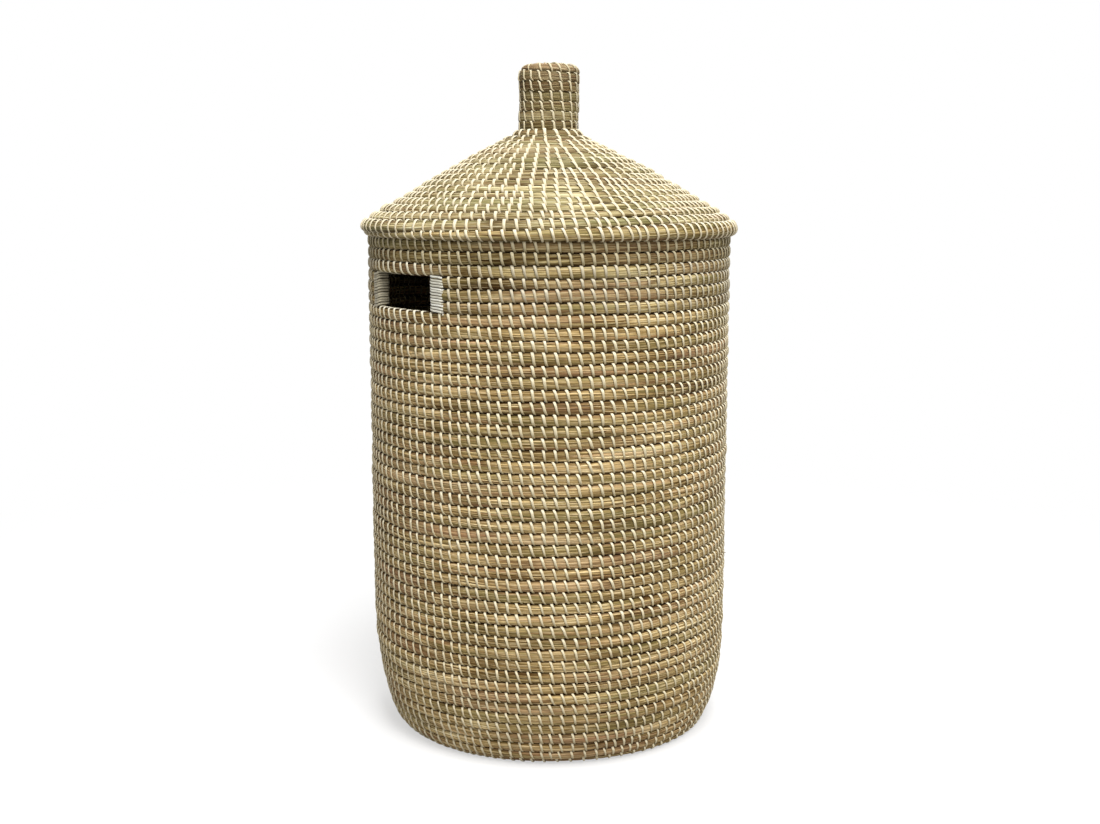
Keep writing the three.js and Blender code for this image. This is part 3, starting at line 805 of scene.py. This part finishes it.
# Painted shade: the knob's cord is a darker copy, as the shade on the knob's side.
shaded_knob_cream = flat_cord("shaded_knob_cord", paint(222, 212, 182), paint(186, 172, 138))
for label, low, high, cord, slant, wide, proud in (
        ("knob", 0, neck_row, shaded_knob_cream, 1.5, 0.85, 0.6),
        ("upper_cone", neck_row, 19, lid_cream, 1, 1.2, 1),
        ("lower_cone", 19, rim_row, lid_cream, 1.1, 1.2, 1),
        ("rim", rim_row, rim_row + 1, lid_cream, 1.4, 1, 1)):
    chosen = lid_stitches[(lid_stitches >= low) & (lid_stitches < high)]
    add_stitches(f"sewing_{label}", lid_coil, chosen, cord, 200 + low, slant, wide, proud)
add_stitches("sewing_locating", ring_coil, ring_coil.pricks, lid_cream, 240)

# Loose blade ends. Here and there the tip of a blade has worked out of the bundle, beside a groove. It is flat
# and dry, follows its row a short way, and bends away from it towards the tip.
blade_width = 1.7 * mm
blade_thickness = 0.36 * mm
blade_taper = np.array([0.9, 1, 1, 0.95, 0.8, 0.55, 0.12])
blade_length, length_spread = 17 * mm, 7 * mm
blade_rise, rise_spread = 1.8 * mm, 1.5 * mm
most_fall = 2.5 * mm
most_off_crest = 0.75
sunk = 0.93


def add_loose_blades(name, coil, low, high, count, finish, seed):
    """Thin ribbons that leave the bundle, follow the row round and bend outwards."""
    rng = np.random.default_rng(seed)
    turns = np.sort(rng.uniform(low, high, count))
    middle, along, down, out, tall, deep, _ = (value.reshape(count, 1, -1) for value in coil.at(turns))
    share = np.linspace(0, 1, len(blade_taper))[:, None]
    length, rise, fall, way = rng.uniform(-1, 1, (4, count, 1, 1))
    way = np.sign(way)
    place = rng.uniform(-most_off_crest, most_off_crest, (count, 1, 1))
    ahead = share * (blade_length + length_spread * length)
    level = middle * [1, 1, 0]
    falling_back = level * ahead ** 2 / (2 * np.sum(level ** 2, axis=2, keepdims=True))
    spine = (middle + down * tall * place + out * deep * sunk + along * way * ahead - falling_back
             + out * share ** 2 * (blade_rise + rise_spread * rise) + down * share ** 2 * most_fall * fall)
    angles = np.arange(4) * math.pi / 2
    width = blade_width / 2 * blade_taper[:, None, None]
    points = (spine[:, :, None] + down[:, :, None] * width * np.cos(angles)[:, None]
              - (way * out)[:, :, None] * blade_thickness / 2 * np.sin(angles)[:, None])
    spans = len(blade_taper) - 1
    number = np.arange(count)[:, None]
    reach = number * 0.3 + np.linspace(0, 20 * mm, spans + 1)
    girth = np.linspace(-2, 2, 5) * mm
    left = (np.arange(spans) * 0.98 + 0.01) / spans + np.zeros_like(number)
    bottom = (number + 0.1) / count * bake_top + np.zeros_like(left)
    cells = (left, left + 0.96 / spans, bottom, bottom + 0.75 / count)
    return add_strands(name, [(points, False, reach, girth, cells)], coil.body, finish)


add_loose_blades("loose_blades_basket", basket_coil, 16, 52, 24, basket_grass, 51)
add_loose_blades("loose_blades_lid", lid_coil, 10, 26, 12, lid_grass, 53)

# The studio. A pale floor that fades into white, a soft lamp above, one over the camera's right shoulder, a
# weaker one behind the basket, and an even white room.
white = (1.0, 1.0, 1.0, 1.0)
floor_radius = 1.5
fade_start, fade_end = 0.4, 1.2
lamp_aim = 0.33
camera_angle = math.radians(-129.3)


def straight_to_the_eye(finish):
    """1 where the camera looks, straight or by a reflection or through glass, and 0 for the light on the object."""
    path = finish.node("ShaderNodeLightPath", {}, {})
    return path + path.other("Is Glossy Ray") + path.other("Is Transmission Ray")


floor = Finish(bpy.data.materials.new("studio_floor"))
from_middle = floor.node("ShaderNodeVectorMath", {"operation": "LENGTH"}, {0: floor.on_object()}, "Value")
matte = floor.node("ShaderNodeBsdfDiffuse", {}, {"Color": (0.45, 0.45, 0.45, 1.0)})
glow = floor.node("ShaderNodeEmission", {}, {"Color": white, "Strength": 0.56})
blank = floor.node("ShaderNodeEmission", {}, {"Color": white, "Strength": 1.0})
near = floor.node("ShaderNodeAddShader", {}, {0: matte, 1: glow})
shown = floor.node("ShaderNodeMixShader", {}, {0: from_middle.between(fade_start, fade_end), 1: near, 2: blank})
mixed = floor.node("ShaderNodeMixShader", {}, {0: straight_to_the_eye(floor), 1: matte, 2: shown})
floor.node("ShaderNodeOutputMaterial", {}, {"Surface": mixed})
bpy.ops.mesh.primitive_circle_add(vertices=96, radius=floor_radius, fill_type="NGON")
ground = bpy.context.object
ground.name = "studio_floor"
ground.data.materials.append(floor.owner)

room = Finish(bpy.data.worlds.new("studio"))
bpy.context.scene.world = room.owner
dim = room.node("ShaderNodeBackground", {}, {"Color": white, "Strength": 0.32})
bright = room.node("ShaderNodeBackground", {}, {"Color": white, "Strength": 1.0})
mixed = room.node("ShaderNodeMixShader", {}, {0: straight_to_the_eye(room), 1: dim, 2: bright})
room.node("ShaderNodeOutputWorld", {}, {"Surface": mixed})


def add_lamp(name, turn, distance, height, size, power):
    """A square soft lamp, turned about the object from the camera's side, that looks at the object's middle."""
    angle = camera_angle + math.radians(turn)
    light = bpy.data.lights.new(name, "AREA")
    light.shape = "SQUARE"
    light.size = size
    light.energy = power
    lamp = bpy.data.objects.new(name, light)
    place = np.array([distance * math.cos(angle), distance * math.sin(angle), height])
    aim = np.array([0, 0, lamp_aim]) - place
    lamp.location = place
    lamp.rotation_euler = (math.acos(-aim[2] / np.linalg.norm(aim)), 0, math.atan2(aim[1], aim[0]) - math.pi / 2)
    bpy.context.scene.collection.objects.link(lamp)


add_lamp("top_lamp", 15, 0.7, 2.5, 0.9, 37)
add_lamp("front_lamp", 16, 1.8, 2.1, 1.0, 40)
add_lamp("back_lamp", 175, 2.2, 1.5, 1.4, 26)

# The camera. It stands where the photograph was taken from, at the height of the lid, and looks a little down.
camera_distance = 1.3614
camera_height = 0.5278
camera_tilt = 0.1628
lens = bpy.data.cameras.new("camera")
lens.sensor_width = 36
lens.lens = 45.30
lens.shift_x = 0.0009
camera = bpy.data.objects.new("camera", lens)
camera.location = (camera_distance * math.cos(camera_angle), camera_distance * math.sin(camera_angle), camera_height)
camera.rotation_euler = (math.pi / 2 - camera_tilt, 0, camera_angle + math.pi / 2)
bpy.context.scene.collection.objects.link(camera)
bpy.context.scene.camera = camera
bpy.context.scene.view_settings.view_transform = "Standard"
